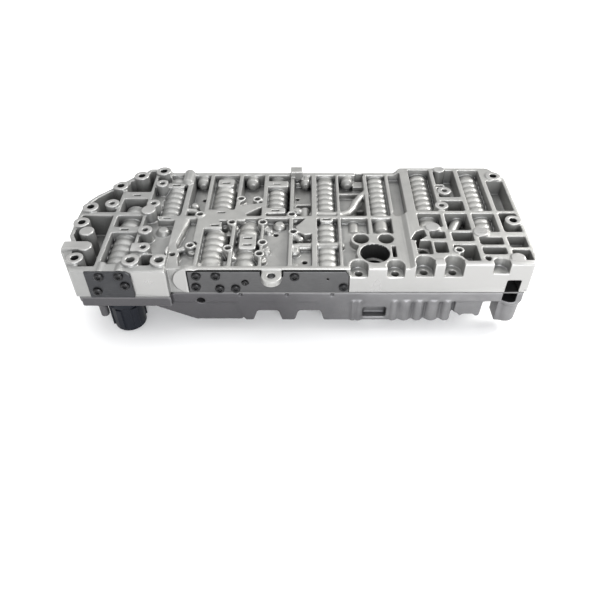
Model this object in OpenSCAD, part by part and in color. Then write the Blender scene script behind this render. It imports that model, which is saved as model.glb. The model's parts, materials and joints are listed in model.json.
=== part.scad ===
// Automatic transmission valve body: an upper and a lower casting with a separator plate
// between them, spool valves in the upper one and pressure solenoids under the lower one.
// Millimetres. X runs along the body, Y away from the front face, Z up from the seam.

/* [Castings] */
// Height of the upper casting's middle rim above the seam
rim_h = 28.5; // [27:0.5:32]
// Step of the two end blocks above the middle rim
block_rise = 5; // [3:0.5:8]
// How far the ribs of the right block lie below its bosses
rib_drop = 1.5; // [0.5:0.25:2.5]
// How far the ribs of the left block lie below its bosses
left_drop = 3; // [1.5:0.25:4]
// Floor of the deep wells above the seam
well_floor = 6; // [5:0.5:8]
// Floor of the shallow wells at the back above the seam
shelf_floor = 15; // [13:0.5:18]
// Floor that the ribs and tubes of the middle stand on, above the seam
open_floor = 21; // [19:0.5:23]
// Cut corners of the wells
corner_cut = 1.8; // [1:0.1:2.5]
// How far the left block stands forward of the front face
block_step = 6; // [3:0.5:8]
// Thickness of the lower casting's flange
flange_t = 11; // [9:0.5:13]
// Depth of the lower casting's front band below the seam
band_h = 25; // [22:0.5:28]
// Depth of the front teeth below the seam
tooth_h = 37; // [33:0.5:41]
// Depth of the lower casting's belly below the seam
belly_h = 52; // [48:1:60]
// Wall between the belly's pockets
belly_wall = 5; // [4:0.5:8]

/* [Separator plate] */
// Thickness of the separator plate
separator_t = 1.6; // [1:0.1:2.5]

/* [Valve bores] */
// Diameter of the valve bores
bore_d = 13; // [11:0.5:14]
// Height of the bore axes above the seam
bore_z = 13.5; // [13:0.25:15]
// Outside diameter of the ringed bulges
bulge_d = 24.4; // [22:0.2:26]
// Spacing of the rings along a bulge
ring_pitch = 9; // [8:0.5:12]
// Height of a ring above its bulge
ring_h = 0.8; // [0.4:0.1:1]
// Running clearance of a valve in its bore, on the radius
valve_gap = 0.05; // [0.03:0.01:0.08]
// Free length of a valve spring's room
spring_l = 18; // [15:1:22]
// Wire diameter of the valve springs
spring_wire = 1.2; // [0.8:0.1:1.6]
// Length of a bore plug
plug_l = 8; // [6:0.5:10]
// Travel of a valve
valve_travel = 5; // [3:0.5:7]

/* [Front plates] */
// Thickness of the front plates
plate_t = 2.5; // [2:0.1:3]
// Diameter of the plate screws
screw_d = 4.8; // [4:0.1:5]
// Length of the plate screws under the head
screw_l = 12; // [10:1:13]
// Diameter of the plate screws' heads
screw_head_d = 8.6; // [7.5:0.1:9.5]
// Height of the plate screws' heads
screw_head_h = 2.4; // [2:0.1:3]

/* [Bolts and bosses] */
// Diameter of the mounting bosses
boss_d = 15.5; // [14:0.5:17]
// Diameter of the mounting holes
boss_hole_d = 7; // [6:0.25:8]
// Diameter of the clamp bolts
clamp_d = 6; // [5:0.25:6.5]
// Clearance of a bolt in its hole, on the radius
bolt_gap = 0.25; // [0.15:0.05:0.4]

/* [Ports] */
// Diameter of the suction port
port_d = 27; // [24:0.5:29]
// Diameter of the two pressure ports
feed_d = 14.5; // [12:0.5:15.5]

/* [Connector] */
// Diameter of the connector's barrel
plug_d = 30; // [28:0.5:34]
// Length of the connector below the flange
connector_l = 38; // [34:1:39]
// Wall of the connector's socket
socket_wall = 2.4; // [2:0.2:3]

/* [Solenoids] */
// Diameter of a solenoid's can
can_d = 27; // [24:0.5:28]
// Length of a solenoid's can
can_l = 32; // [28:1:34]
// Diameter of a solenoid's nose
nose_d = 16; // [14:0.5:17]
// Spacing of the solenoids
solenoid_pitch = 50; // [46:1:50]

/* [Hidden] */
$fn = 48;
eps = 0.5;
block_h = rim_h + block_rise;
block_front = -block_step;
back_edge = 159;
block_back = 163;
left_end = -227;
right_end = 206;
lug_x = -33.5;
lug_y = -6;
lug_r = 9.2;
lug_t = 6;
lug_drop = 2.5;
recess_y = 2;
front_lip = 1.8;
recess_left = -110;
recess_right = 36.5;
plate_gap = 0.5;
end_plate_left = -198;
end_plate_right = -157.8;
port_at = [60.5, 22.5];
port_lip = 2.5;
feed_xs = [49, 72.5];
feed_y = 44;
front_core_d = 5.2;
bore_r = bore_d / 2;
bulge_r = bulge_d / 2;
groove_r = bore_r + 1.2;
bulge_inset = 3.2;
stalk_rise = 1.3;
tube_lap = 0.7;
bulge_wall = 2.2;
end_gap = 0.3;
stop_r = 2.6;
stop_l = spring_l - valve_travel - end_gap;
key_t = 1.6;
key_w = 8;
slot_gap = 0.2;
lower_top = -separator_t;
flange_z = lower_top - flange_t;
belly_back = 118;
rest_depth = max(belly_h, connector_l - flange_z);
origin_shift = [-(left_end + right_end) / 2, -(lug_y - lug_r + block_back) / 2, rest_depth];

cast_grey = [0.74, 0.74, 0.72];
lower_grey = [0.58, 0.57, 0.58];
steel_grey = [0.6, 0.6, 0.6];
dark_steel = [0.33, 0.33, 0.34];
black_oxide = [0.08, 0.08, 0.09];
plastic_black = [0.05, 0.05, 0.07];

// Outline of the upper casting, from the front left corner round by the left end and the back
upper_outline = [
    [-212, block_front], [-219, 9], [-224.5, 21], [left_end, 22], [left_end, 34.5], [-221, 36],
    [-225.5, 46], [-226, 69], [-225, 93], [-222, 103], [-216, 112.5], [-203, 126.5],
    [-187.5, 145], [-182, 153], [-175, 153.5], [-173, 160], [-170, block_back],
    [-150, block_back], [-146, back_edge], [93, back_edge], [97, block_back],
    [188, block_back], [192, block_back - 1], [204, 145], [right_end, 140], [right_end, 15],
    [200.5, 0], [-127, 0], [-127, block_front]
];

// Outline of the lower casting's flange and the separator plate
seam_outline = [
    [-209, block_front + 0.6], [-217, 14], [-224, 46], [-224, 92], [-213, 110], [-185, 142],
    [-171, 158], [-146, 157], [93, 157], [187, 160], [203, 141], [203, 16], [198.5, 0.6],
    [-126, 0.6], [-127, block_front + 0.6]
];

// Deep wells of the upper casting: [x from, x to, y from, y to]
deep_wells = [
    [-152.5, -142, 3, 17.6], [-85, -79, 63, 70], [48.5, 56.5, 97, 107], [48.5, 56, 81.5, 89]
];

// Cells round the valve bulges, with their floor at the bore axes: [x from, x to, y from, y to]
valve_cells = [
    [-187, -163, 84, 107], [-187, -162.5, 5, 51], [-187, -162.5, 60, 78],
    [-150.4, -127, 80.5, 130.5], [-146, -130.5, 138.5, 154], [105.5, 128, 84, 159],
    [105.5, 128, 58, 79.5], [158.7, 180.4, 84, 158], [158.7, 180.4, 50, 79.5]
];

// Gaps beside the valve bulges of the middle, as deep as the bore axes: [x from, x to, y from, y to]
gap_wells = [
    [-79.6, -74.2, 92.6, 134], [-80.4, -74.8, 20, 58], [-66.4, -62.6, 5, 36], [-52.6, -49, 5, 26],
    [-70, -65.6, 38, 62], [-26.4, -19.9, 95, 136], [-42.2, -39, 116, 133], [24.4, 27.4, 94, 154],
    [24.2, 27.2, 44, 68], [23.4, 27.2, 5, 32], [8.4, 11, 22, 33], [75.8, 80, 90, 120],
    [75.4, 79.8, 56, 75.6], [-100.6, -96.4, 48, 59], [-100.6, -97, 22, 34]
];

// Wells down to the back shelf: [x from, x to, y from, y to]
shelf_wells = [
    [-130.4, -126.6, 84, 146], [-120.6, -104.9, 97, 154], [-69, -47.8, 113, 154],
    [-15.1, 2, 112, 150], [-13, 2, 82, 109], [-8.6, 1.8, 43.2, 50], [31.4, 56.4, 82, 128.4],
    [31.5, 46.5, 131, 154], [46, 57, 131, 142], [115.5, 127.5, 19, 35], [113.5, 128, 40, 51],
    [132, 154, 108, 158], [132, 154, 84, 101.5], [132, 154, 53, 79.5], [134, 154, 36, 49.5],
    [133, 154, 6, 30.5], [185, 202, 84, 137], [185, 202, 50, 80], [158.7, 180.4, 31, 42]
];

// Other cells down to the open floor: [x from, x to, y from, y to]
open_cells = [
    [185, 201.6, 7, 23.4], [158.7, 180.4, 17, 27], [158.7, 164, 6, 14], [185, 202, 27, 43],
    [-147.6, -131, 19.8, 79.8],
    [-159.4, -146.4, 31.8, 150], [-117.4, -105.4, 5, 40], [99, 113, 17, 37]
];

// Middle of the upper casting, which lies at the open floor between its ribs
open_middle = [
    [-117, 4.6], [46, 4.6], [46, 36], [59, 52], [84, 52], [84, 76], [96, 82], [96, 153.6],
    [-121.4, 153.6], [-121.4, 79], [-120, 60], [-124, 38]
];

// Ribs and tubes of the middle: [x from, y from, x to, y to, width]
rib_lines = [
    [-123.6, 80, -123.6, 154.6, 5.1], [-102.4, 80, -102.4, 154.6, 4.3],
    [-102.8, 4, -102.8, 39, 3.9], [-71.6, 80, -71.6, 154.6, 4.3], [-72.4, 4, -72.4, 77, 3.9],
    [-44.9, 79, -44.9, 154.6, 4.7], [-44.6, 4, -44.6, 77, 3.1], [-17.4, 4, -17.4, 154.6, 4.1],
    [5.1, 4, 5.1, 154.6, 5.3], [29.4, 4, 29.4, 154.6, 3.3], [58.9, 50, 58.9, 154.6, 4.1],
    [82.2, 51, 82.2, 154.6, 3.7], [-119, 78.4, 97.4, 78.4, 4.3]
];

// Round passages that show as tubes: [radius, height of the crown, points along the tube]
tubes = [
    [4.3, rim_h - 0.6, [[-14.4, 34.6], [-9, 36.6], [29.6, 38.2]]],
    [4.3, rim_h - 0.7, [[4, 87.6], [31, 86]]],
    [4.2, rim_h - 0.5, [
        [31.2, 85.6], [38.6, 89.6], [43.6, 97.4], [47, 107], [52.4, 117], [58.4, 124]
    ]],
    [3.7, rim_h - 0.5, [[-120, 76], [-123, 55], [-126.4, 32]]],
    [3.1, rim_h - 0.8, [[-122, 93.4], [-114, 92], [-109.4, 87.6]]],
    [3.6, rim_h - 0.9, [[-15, 53], [-8.4, 46.6]]],
    [2.7, rim_h - 0.9, [[-111, 33.6], [-117, 32.4], [-125, 27]]],
    [5.2, 25.4, [[134.6, 56], [147, 80.6]]]
];

// Flat parts of the middle that lie at the rim
rib_plates = [
    [[-104.4, 73], [-62.3, 73], [-62.3, 81], [-69.9, 80.9], [-74.6, 91.2], [-104.4, 91.2]],
    [[-74.4, 81.2], [-63.1, 80.1], [-45.2, 98.4], [-47.1, 103.2], [-56, 101.1], [-74.4, 96.4]],
    [[-109.2, 38], [-100.9, 38], [-100.9, 60.2], [-84, 60.2], [-84, 69.6], [-92, 74.5], [-109.2, 77.1]],
    [[-13.2, 62.1], [-2.1, 78.2], [7.2, 78.2], [7.2, 56.1], [1.6, 51.9], [-4.1, 50.2], [-10.3, 54.2]]
];

// Rounded knobs on the open floor and the shelf: [x, y, radius, height over the seam]
knobs = [
    [-116.4, 105, 4.6, 25], [-29, 69.6, 6.2, 27], [-13.6, 29.6, 5.2, 27.4], [-11.6, 98, 5, 24],
    [-38.6, 62, 4.2, 25], [-39.6, 31, 4.2, 25], [-71, 22, 3.8, 25], [-141, 62, 7, 26]
];

// Wells of the left end, which follow the outline
left_wells = [
    [[-221, 84], [-191, 84], [-191, 134], [-195, 130], [-214, 108.5], [-219, 100]],
    [[-222, 48], [-222, 78], [-191.5, 78], [-191.5, 2], [-208, 2], [-216, 17], [-217, 38]],
    [[-187, 119.5], [-162.5, 119.5], [-162.5, 159], [-169, 159], [-171.5, 149], [-187, 139]]
];

// Other wells with slanted sides
slant_wells = [
    [[-64, 82], [-48.5, 82], [-48.5, 95], [-56, 88]],
    [[95, 39], [101, 50], [109, 54], [110.5, 44], [104, 38.5], [98, 37]]
];

// Mounting bosses with a through hole: [x, y]
mount_bosses = [
    [-154.8, 154.5], [-176.5, 145.5], [-194.5, 126.5], [-216, 89], [-218, 63.5], [-210, 10],
    [194.2, 145], [196.5, 66.5]
];

// Small bosses with a narrow hole: [x, y, boss diameter]
tapped_bosses = [
    [-152.3, 131, 13], [-196.2, 95, 14], [-154.8, 95, 13], [-154.8, 51.5, 13.5],
    [-151.8, 25.5, 13.5], [-125, 21, 12.5], [-159.7, 7.3, 16], [-134, 7.3, 16],
    [138.5, 117.5, 13.5], [131.5, 91.5, 13.5], [136.6, 21.5, 9.5]
];

// Machined pads with no hole: [x, y, diameter]
blank_pads = [
    [-157.8, 84, 14], [-209.5, 49.5, 14], [-205.5, 27, 13.5], [117.5, 56.5, 13.5],
    [161.8, 48.5, 13.5], [139, 158, 12], [188, 10.5, 13]
];

// Slim bosses that stand on a stalk: [x, y]
stalk_bosses = [
    [-110.5, 33], [-75, 69], [-75, 29], [-45, 69], [-43.5, 37.5], [-45.5, 21], [-69, 109],
    [-52.5, 108], [-15, 54], [-107.5, 82], [-17, 82]
];

// Drain holes down through the well floors: [x, y, radius]
floor_holes = [
    [-109, 126, 2.6], [-54, 119, 2.6], [-32, 59, 2.4], [-12, 128, 2], [-4, 18, 2.4],
    [51.5, 62, 2.4], [86.5, 85, 3.6], [107, 32, 4], [-113, 86, 2.4], [-109, 12, 2.4]
];

// Raised pads across the valve bulges: [x, y, width, depth, slot spacing or 0]
slot_pads = [
    [-175.5, 113, 17, 9, 0], [-176, 55.5, 26, 7, 0], [-139, 134.5, 17, 7, 0],
    [-139.5, 76.2, 17, 7, 0], [-87, 139, 17, 13, 0], [-87, 86, 14, 8, 0], [-91, 65, 13, 7, 0],
    [-57.5, 40, 16, 22, 10], [-33.5, 137.2, 24, 11, 0], [-33.5, 89.5, 20, 9, 0],
    [17, 75, 13, 8, 0], [135, 128, 11, 7, 0]
];

// Valve trains: [x, y of the mouth, bore length, direction inwards, depth of the plug, keyed,
// extra radius of the bulge]
valve_trains = [
    [-175, block_front, 84, 1, 0, false, 0.3],
    [-138.5, back_edge, 80, -1, 25.3, true, 0],
    [-90, recess_y, 58, 1, 0, false, 0.4],
    [-87.5, back_edge, 68, -1, 20.8, true, 0.3],
    [-58, recess_y, 72, 1, 0, false, -0.4],
    [-33.5, back_edge, 66, -1, 22.6, true, -0.8],
    [17, recess_y, 69, 1, 0, false, 0],
    [17, back_edge, 76, -1, 0.4, false, 0],
    [71, back_edge, 78, -1, 0.4, false, 0],
    [117, block_back, 105, -1, 0.4, false, 0.2],
    [169.5, block_back, 112, -1, 0.4, false, 0.2]
];

// Screws of the two front plates: [x, z]
left_screws = [[-185.3, 26.6], [-167.8, 27.2], [-164.3, 16], [-190.2, 9.4]];
long_screws = [
    [-101.5, 20.5], [-84, 20.5], [-103, 7.4], [-81.5, 5.2], [-67, 5.4], [-13, 19.6], [31.4, 6.9]
];

// Scallops in the front top edge: [x, y of the centre, radius, depth below the middle rim, drilled]
scallops = [
    [45, 5.2, 8, 10, true], [78, 5.2, 8, 10, true], [104, 6.5, 8.6, 9.5, true],
    [130, 6.5, 8.6, 9.5, true], [172, 4, 7.5, 6, false]
];

clamp_spots = [
    [-143, 143], [-100, 150], [-50, 150], [0, 150], [50, 150], [100, 150], [150, 150],
    [196, 105], [196, 38], [-203, 70], [-204, 28], [168, 30]
];
dowel_spots = [[-124, 112], [91, 105]];
dowel_d = 8;
dowel_l = 13;
clamp_reach = 4.5;
clamp_head_d = 11;
clamp_head_h = 5;
connector_at = [-176.5, 14];
post_at = [-193.2, -0.4];
post_r = 4;
solenoid_n = 6;
snout_d = 22;
snout_l = 4;
neck_d = 18;
nose_l = 14;
strip_t = 2;
solenoid_z = flange_z - 1.2 - can_d / 2;
ball_d = 6;

// Layout helpers

module at_origin() {
    translate(origin_shift) children();
}

// Turns a shape drawn along +Z so that it points along Y, inwards when way is 1
module along_y(x, y, z, way) {
    translate([x, y, z]) rotate([-90 * way, 0, 0]) children();
}

// Extrudes a profile drawn in X and Z from y0 back to y1
module front_extrude(y0, y1) {
    translate([0, y1, 0]) rotate([90, 0, 0]) linear_extrude(y1 - y0) children();
}

// Well with its corners rounded off in two cuts
function corner_of(c) = min(corner_cut, 0.3 * min(c[1] - c[0], c[3] - c[2]));

module cell(c) {
    k = corner_of(c);
    h = 0.3 * k;
    polygon([
        [c[0] + k, c[2]], [c[1] - k, c[2]], [c[1] - h, c[2] + h], [c[1], c[2] + k],
        [c[1], c[3] - k], [c[1] - h, c[3] - h], [c[1] - k, c[3]],
        [c[0] + k, c[3]], [c[0] + h, c[3] - h], [c[0], c[3] - k],
        [c[0], c[2] + k], [c[0] + h, c[2] + h]
    ]);
}

module drill(x, y, r, z0, z1) {
    translate([x, y, z0]) cylinder(r = r, h = z1 - z0);
}
function valve_y(i, depth) = valve_trains[i][1] + valve_trains[i][3] * depth;
function spool_start(i) = valve_trains[i][4] + plug_l + spring_l;
function spool_l(i) = valve_trains[i][2] - end_gap - spool_start(i);
function ring_count(l) = floor((l - 4) / ring_pitch);

// Upper casting

// Ring of a bulge: a ridge with sloped flanks
function ridge(r, z) = [
    [r, z - ring_pitch * 0.38], [r + ring_h, z - ring_pitch * 0.2],
    [r + ring_h, z + ring_pitch * 0.2], [r, z + ring_pitch * 0.38]
];

module ringed_bulge(x, y0, y1, r) {
    l = y1 - y0;
    n = ring_count(l);
    first = (l - (n - 1) * ring_pitch) / 2;
    rings = [for (k = [0 : n - 1]) for (p = ridge(r, first + k * ring_pitch)) p];
    along_y(x, y0, bore_z, 1)
        rotate_extrude()
            polygon(concat([[0, 0], [r - 2, 0], [r, 1.8]], rings, [[r, l - 1.8], [r - 2, l], [0, l]]));
    translate([x - r * 0.86, y0 + 1, eps])
        cube([r * 1.72, l - 2, bore_z - eps]);
}

// Stub with a sloped end that runs out of the front or back wall
module stub(x, y, z, r, l, way) {
    along_y(x, y, z, way)
        rotate_extrude() polygon([[0, 0], [r, 0], [r, l - r * 0.6], [r * 0.45, l], [0, l]]);
}

// Bulge over each bore, from just inside its mouth to past its blind end
module valve_bulges() {
    for (i = [0 : len(valve_trains) - 1]) {
        from = valve_y(i, bulge_inset);
        to = valve_y(i, valve_trains[i][2] + bulge_wall);
        ringed_bulge(valve_trains[i][0], min(from, to), max(from, to), bulge_r + valve_trains[i][6]);
    }
    ringed_bulge(valve_trains[0][0], 82.5, 103, bulge_r - 0.3);
}

module rounded_stubs() {
    for (k = knobs)
        translate([k[0], k[1], shelf_floor - eps])
            rotate_extrude()
                polygon([[0, 0], [k[2], 0], [k[2], k[3] - shelf_floor - k[2] * 0.5],
                    [k[2] * 0.6, k[3] - shelf_floor], [0, k[3] - shelf_floor]]);
    for (s = [[-112.5, 7], [-60, 7], [-3.5, 6], [40.5, 6.5]])
        stub(s[0], back_edge - 2, rim_h - s[1] - 1.5, s[1], 14, -1);
    stub(-127.5, back_edge - 0.4, rim_h - 1.5, 6, 24, -1);
    for (s = [[-4, 103, 5.3], [43.5, 79, 6], [70.5, 79, 8]])
        stub(s[0], s[1] - 1, shelf_floor + 3, s[2], 20, -1);
    for (s = long_screws)
        stub(s[0], recess_y + eps, s[1], screw_d / 2 + 2.4, screw_l + 1, 1);
    for (s = left_screws)
        stub(s[0], block_front + eps, s[1], screw_d / 2 + 2.4, screw_l + 3, 1);
}

// Tube along its points, with a post under each of them
module tube(t) {
    pts = t[2];
    translate([0, 0, t[1] - t[0]]) {
        for (k = [0 : len(pts) - 2]) {
            run = pts[k + 1] - pts[k];
            translate(pts[k])
                rotate([0, 90, atan2(run[1], run[0])])
                    translate([0, 0, -tube_lap])
                        cylinder(r = t[0] - 0.3 * (k % 2), h = norm(run) + 3 * tube_lap);
        }
        for (q = pts) translate([q[0], q[1], -3.1]) cylinder(r = t[0] - 0.6, h = 5.2);
    }
}

module upper_blank() {
    difference() {
        linear_extrude(block_h) polygon(upper_outline);
        intersection() {
            translate([0, 0, rim_h - eps])
                linear_extrude(block_rise + 4)
                    polygon([
                        [-146.8, 170], [-146.8, 76], [-128.5, 26], [-127.6, -10],
                        [110, -10], [110, 170]
                    ]);
            front_extrude(-20, 180)
                polygon([
                    [-160, rim_h], [90, rim_h], [97, block_h + 0.1], [104, block_h + 8],
                    [-160, block_h + 8]
                ]);
        }
        rib_cut(left_drop, left_end - 5, -60);
        rib_cut(rib_drop, 60, right_end + 5);
    }
}

// Takes the ribs between x0 and x1 down from the machined tops
module rib_cut(drop, x0, x1) {
    translate([0, 0, block_h - drop])
        linear_extrude(drop + 1)
            difference() {
                translate([x0, block_front - 5]) square([x1 - x0, 190]);
                machined_tops(0.3);
                translate([92, -1]) square([right_end - 91, 9]);
            }
}

// Tops of the end blocks that are machined, with a margin round them
module machined_tops(margin) {
    for (b = mount_bosses) translate([b[0], b[1]]) circle(r = boss_d / 2 + margin);
    for (b = concat(tapped_bosses, blank_pads))
        translate([b[0], b[1]]) circle(r = b[2] / 2 + margin);
    translate([-226 - margin, 22.4 - margin]) square([22 + 2 * margin, 11.5 + 2 * margin]);
    translate([-163 - margin, 20 - margin]) square([12 + 2 * margin, 11.2 + 2 * margin]);
}

// Everything that stands in the wells
module well_islands() {
    machined_tops(0);
    for (b = stalk_bosses) translate([b[0], b[1]]) circle(r = 4.4);
    for (p = slot_pads)
        cell([p[0] - p[2] / 2, p[0] + p[2] / 2, p[1] - p[3] / 2, p[1] + p[3] / 2]);
    translate(port_at) circle(d = port_d + 7);
    for (x = feed_xs) translate([x, feed_y]) circle(d = feed_d + 5.5);
    for (s = scallops) translate([s[0], s[1]]) circle(r = s[2] + 2.6);
}

// Wells of one depth
module well_cut(floor_z) {
    translate([0, 0, floor_z])
        linear_extrude(block_h)
            difference() {
                children();
                well_islands();
            }
}

module rib_line(r) {
    run = [r[2] - r[0], r[3] - r[1]];
    translate([r[0], r[1]])
        rotate(atan2(run[1], run[0]))
            translate([0, -r[4] / 2])
                square([norm(run), r[4]]);
    for (end = [[r[0], r[1]], [r[2], r[3]]]) translate(end) circle(r = r[4] / 2 + 0.25);
}

module upper_wells() {
    well_cut(well_floor) {
        for (c = deep_wells) cell(c);
        for (p = left_wells) polygon(p);
        for (p = slant_wells) polygon(p);
    }
    well_cut(bore_z) for (c = concat(valve_cells, gap_wells)) cell(c);
    well_cut(shelf_floor) for (c = shelf_wells) cell(c);
    well_cut(open_floor) for (c = open_cells) cell(c);
    well_cut(open_floor)
        difference() {
            polygon(open_middle);
            for (r = rib_lines) rib_line(r);
            for (q = rib_plates) polygon(q);
        }
}

// Valve bore with annular grooves between the plug and the blind end
module valve_bore(i) {
    t = valve_trains[i];
    from = t[4] + plug_l + 6;
    n = floor((t[2] - 4 - from) / ring_pitch);
    grooves = [
        for (k = [0 : n - 1])
            let (z = from + k * ring_pitch)
                for (p = [[bore_r, z], [groove_r, z + 0.6], [groove_r, z + 4], [bore_r, z + 4.6]]) p
    ];
    along_y(t[0], t[1] - t[3], bore_z, t[3])
        rotate_extrude()
            polygon(concat([[0, 0], [bore_r, 0]], [for (p = grooves) p + [0, 1]],
                [[bore_r, t[2] + 1], [0, t[2] + 1]]));
    for (k = [0 : 2 : n - 1])
        drill(t[0], valve_y(i, from + k * ring_pitch + 2.3), 2.2, -1, bore_z);
}

module slot_pockets() {
    for (p = slot_pads)
        for (side = p[4] == 0 ? [0] : [-1, 1])
            translate([p[0] - key_w / 2, p[1] + side * p[4] / 2 - key_t / 2 - slot_gap, rim_h - 5.5])
                cube([key_w, key_t + 2 * slot_gap, 20]);
}

// Slots that let a flat key down across a bore, just outside its plug
module key_slots() {
    for (i = [0 : len(valve_trains) - 1])
        if (valve_trains[i][5])
            translate([
                valve_trains[i][0] - key_w / 2,
                valve_y(i, valve_trains[i][4] - key_t / 2) - key_t / 2 - slot_gap, bore_z - bore_r + 1
            ])
                cube([key_w, key_t + 2 * slot_gap, rim_h]);
}

module scallop_cuts() {
    for (s = scallops) {
        translate([s[0], s[1], rim_h - s[3]])
            linear_extrude(40) {
                circle(r = s[2]);
                translate([-s[2] + 0.2, -s[1] - 6]) square([2 * s[2] - 0.4, s[1] + 6]);
            }
        if (s[4]) drill(s[0], s[1], boss_hole_d / 2, -1, rim_h);
    }
}

// Deep pocket in the right front of both castings
module front_pocket() {
    translate([180, -5, -13]) cube([12.6, 27, 27.4]);
}

module plate_screw_holes(spots, y) {
    for (s = spots)
        along_y(s[0], y - 1, s[1], 1) cylinder(r = screw_d / 2 + bolt_gap, h = screw_l + 1.4);
}

// Recess of the long retainer plate, which leaves the lug standing
module plate_recess() {
    difference() {
        translate([recess_left, -6, -1])
            cube([recess_right - recess_left, 6 + recess_y, rim_h - front_lip + 1]);
        translate([lug_x - lug_r + 0.25, -8, rim_h - lug_drop - lug_t])
            cube([2 * lug_r - 0.5, 12, lug_t]);
    }
}

module upper_valve_body() color(cast_grey) at_origin() {
    difference() {
        union() {
            difference() {
                upper_blank();
                upper_wells();
            }
            valve_bulges();
            rounded_stubs();
            for (t = tubes) tube(t);
            for (b = stalk_bosses)
                union() {
                    drill(b[0], b[1], 4.8, shelf_floor - eps, rim_h + stalk_rise);
                    drill(b[0] + 2.2, b[1] - 3.4, 4.5, shelf_floor - eps, rim_h - 3.6);
                }
            translate([-19.6, 149, rim_h - 3]) cube([12.7, 11, 9.7]);
            along_y(-108.5, -1.2, 15, 1) cylinder(r = 14.6, h = 6);
            translate([lug_x, 0, rim_h - lug_drop - lug_t])
                linear_extrude(lug_t) {
                    translate([0, lug_y]) circle(r = lug_r);
                    translate([-lug_r + 0.25, lug_y]) square([2 * lug_r - 0.5, 12]);
                }
        }
        plate_recess();
        for (i = [0 : len(valve_trains) - 1]) valve_bore(i);
        key_slots();
        slot_pockets();
        for (b = mount_bosses) drill(b[0], b[1], boss_hole_d / 2, -1, block_h + 1);
        for (b = tapped_bosses) drill(b[0], b[1], b[2] > 15 ? 3.9 : 2.6, well_floor, block_h + 1);
        for (b = stalk_bosses) drill(b[0], b[1], 2.8, rim_h - 6, rim_h + 4);
        for (h = floor_holes) drill(h[0], h[1], h[2], -1, rim_h + 1);
        drill(lug_x, lug_y, boss_hole_d / 2, 0, rim_h);
        drill(port_at[0], port_at[1], port_d / 2, 11, rim_h + 1);
        drill(port_at[0], port_at[1], port_d / 2 - port_lip, -1, 12);
        for (x = feed_xs) drill(x, feed_y, feed_d / 2, 10, rim_h + 1);
        translate([76.6, 17, well_floor]) cube([3.6, 16, rim_h]);
        translate([49, 153, well_floor + 6]) cube([9, 4.2, rim_h]);
        scallop_cuts();
        front_pocket();
        plate_screw_holes(long_screws, recess_y);
        plate_screw_holes(left_screws, block_front);
        for (c = clamp_spots) drill(c[0], c[1], clamp_d / 2 + bolt_gap, -1, clamp_reach + 0.5);
        for (c = dowel_spots) drill(c[0], c[1], dowel_d / 2 + 0.02, -1, dowel_l / 2 - 1.5);
    }
}

// Separator plate

module separator_plate() color(steel_grey) at_origin() {
    translate([0, 0, lower_top])
        linear_extrude(separator_t)
            difference() {
                polygon(seam_outline);
                for (b = mount_bosses) translate([b[0], b[1]]) circle(d = boss_hole_d + 1);
                for (s = scallops) if (s[4]) translate([s[0], s[1]]) circle(d = boss_hole_d + 1);
                for (c = clamp_spots) translate([c[0], c[1]]) circle(r = clamp_d / 2 + bolt_gap);
                for (c = dowel_spots) translate([c[0], c[1]]) circle(d = dowel_d + 0.2);
                translate(port_at) circle(r = port_d / 2 - port_lip);
                for (t = valve_trains)
                    for (k = [0.45, 0.7, 0.9])
                        translate([t[0], t[1] + t[3] * t[2] * k]) circle(r = 2);
            }
}

// Lower casting

// Front teeth and blocks: [x at top left, top right, bottom right, bottom left, front y]
teeth = [
    [-66, -49, -53, -61, 0.8], [-31, -10, -13.5, -26, 0.8], [9, 76, 76, 14, 0.8],
    [74, 136, 134.5, 74, 4.6], [-150, -64, -64, -108, 1.8]
];

module front_teeth() {
    for (t = teeth)
        front_extrude(t[4], 30)
            polygon([[t[0], flange_z + 3], [t[1], flange_z + 3], [t[1], -band_h],
                [t[2], -tooth_h], [t[3], -tooth_h], [t[0], min(flange_z - 3, -band_h + 8)]]);
}

// Round columns on the front: [x, radius]
module front_flutes() {
    for (f = [[80, 4.6], [91, 7.4], [103.5, 5.2], [117, 7.6], [130, 5], [47, 3.4], [41.5, 2.6]])
        drill(f[0], f[1] - 1, f[1], -tooth_h + 0.4, flange_z + 1.5);
}

// Column under the right front corner, with a collar at its top
module corner_column() {
    at = [190, 13];
    drill(at[0], at[1], 13, flange_z - 4, flange_z + 2);
    translate([at[0], at[1], -tooth_h - 4])
        cylinder(r1 = 10.4, r2 = 11.8, h = tooth_h + 5 + flange_z);
    translate([178.6, 4, -tooth_h - 3.6]) cube([11, 18, tooth_h + 3.6 + flange_z + 2]);
}

// Notched web to the right of the flutes
module notched_web() {
    front_extrude(2, 9)
        polygon([
            [138, flange_z + 2], [164, flange_z + 2], [163, -band_h - 6.5], [160, -band_h - 8.5],
            [156.5, -band_h - 5.5], [147, -band_h - 5.5], [144.5, -band_h - 8.5],
            [141, -band_h - 4], [138, -band_h - 3]
        ]);
}

module belly_pockets() {
    span = 288;
    n = 6;
    w = (span - (n - 1) * belly_wall) / n;
    for (k = [0 : n - 1])
        for (row = [0, 1])
            translate([-span / 2 + k * (w + belly_wall), 45 + row * (23 + belly_wall), -belly_h - 1])
                cube([w, 23, belly_h - band_h - 2]);
}

function solenoid_x(k) = (k - (solenoid_n - 1) / 2) * solenoid_pitch;

module solenoid_seats() {
    for (k = [0 : solenoid_n - 1]) {
        along_y(solenoid_x(k), belly_back + 1, solenoid_z, -1)
            cylinder(r = snout_d / 2 + 0.15, h = snout_l + 1.1);
        along_y(solenoid_x(k), belly_back, solenoid_z, -1)
            cylinder(r = nose_d / 2 + 0.15, h = snout_l + nose_l + 2);
    }
    for (k = [0 : solenoid_n - 2])
        along_y((solenoid_x(k) + solenoid_x(k + 1)) / 2, belly_back + 1, solenoid_z, -1)
            cylinder(r = screw_d / 2 + bolt_gap, h = screw_l);
}

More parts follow.
